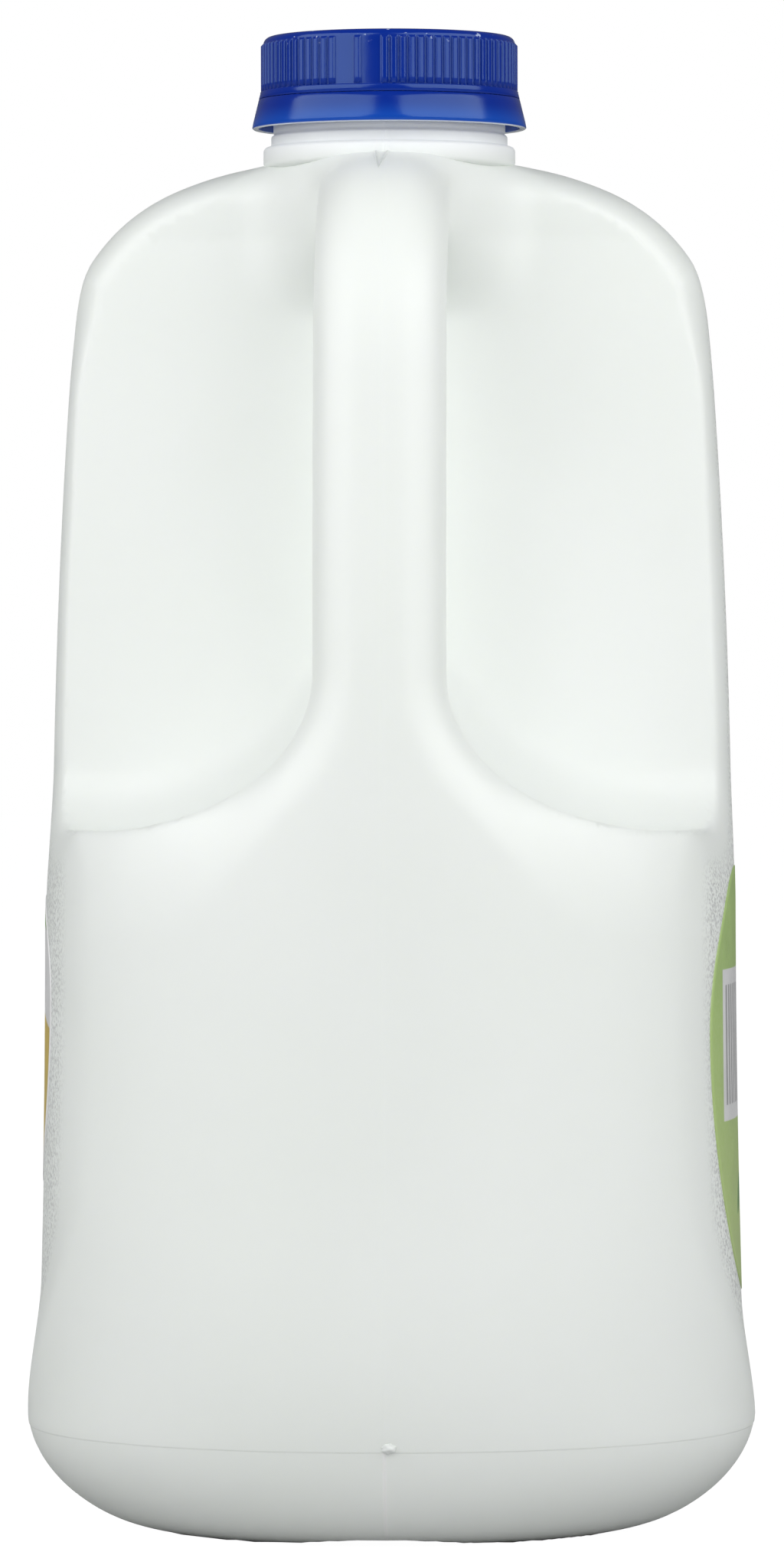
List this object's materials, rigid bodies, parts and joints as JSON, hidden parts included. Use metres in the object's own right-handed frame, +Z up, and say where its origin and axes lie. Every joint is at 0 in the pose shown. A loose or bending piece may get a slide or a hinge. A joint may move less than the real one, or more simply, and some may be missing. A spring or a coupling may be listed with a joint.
{
  "type": "lemonade jug",
  "caption": "Shut white plastic drinks jug with an upright handle set into one face, a ribbed blue screw cap over a flared tamper band, and a label on each side panel.",
  "frame": {"origin": "middle of the foot ring, at the level the jug stands on", "axes": "+Z up along the neck, -Y towards the handle, +X to the right when the handle faces the viewer"},
  "size_m": [0.117, 0.1176, 0.2379],
  "materials": {
    "jug_plastic": "opaque white blow-moulded plastic with a satin skin",
    "cap_plastic": "glossy moulded blue plastic",
    "label_left_film": "thin printed film, satin",
    "label_right_film": "thin printed film, satin"
  },
  "bodies": {
    "root": {"jug": "jug_plastic", "cap": "cap_plastic", "tamper_band": "cap_plastic", "label_left": "label_left_film", "label_right": "label_right_film"}
  },
  "joints": []
}
